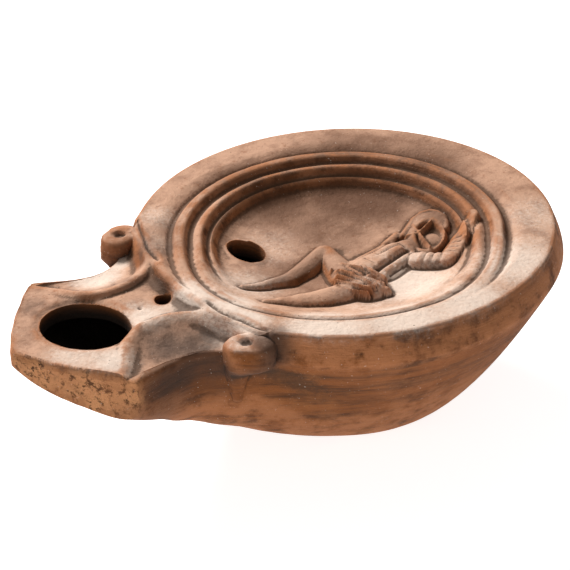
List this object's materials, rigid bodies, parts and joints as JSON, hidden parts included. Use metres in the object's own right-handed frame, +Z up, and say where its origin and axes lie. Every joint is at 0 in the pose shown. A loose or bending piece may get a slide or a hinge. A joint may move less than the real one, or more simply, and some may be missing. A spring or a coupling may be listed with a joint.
{
  "type": "roman oil lamp",
  "caption": "Hollow fired-clay oil lamp with a round bowl, a sunk discus with rings and a figure in relief, and an angular nozzle between volutes.",
  "frame": {"origin": "centre of the underside, on the surface that the lamp stands on", "axes": "+Z up; the nozzle points along -Y; X runs from one volute knob to the other"},
  "size_m": [0.0786, 0.1063, 0.0337],
  "materials": {
    "fired_clay": "worn matt fired clay, orange-buff with soot and pale deposit"
  },
  "bodies": {
    "root": {"lamp_body": "fired_clay"}
  },
  "joints": []
}
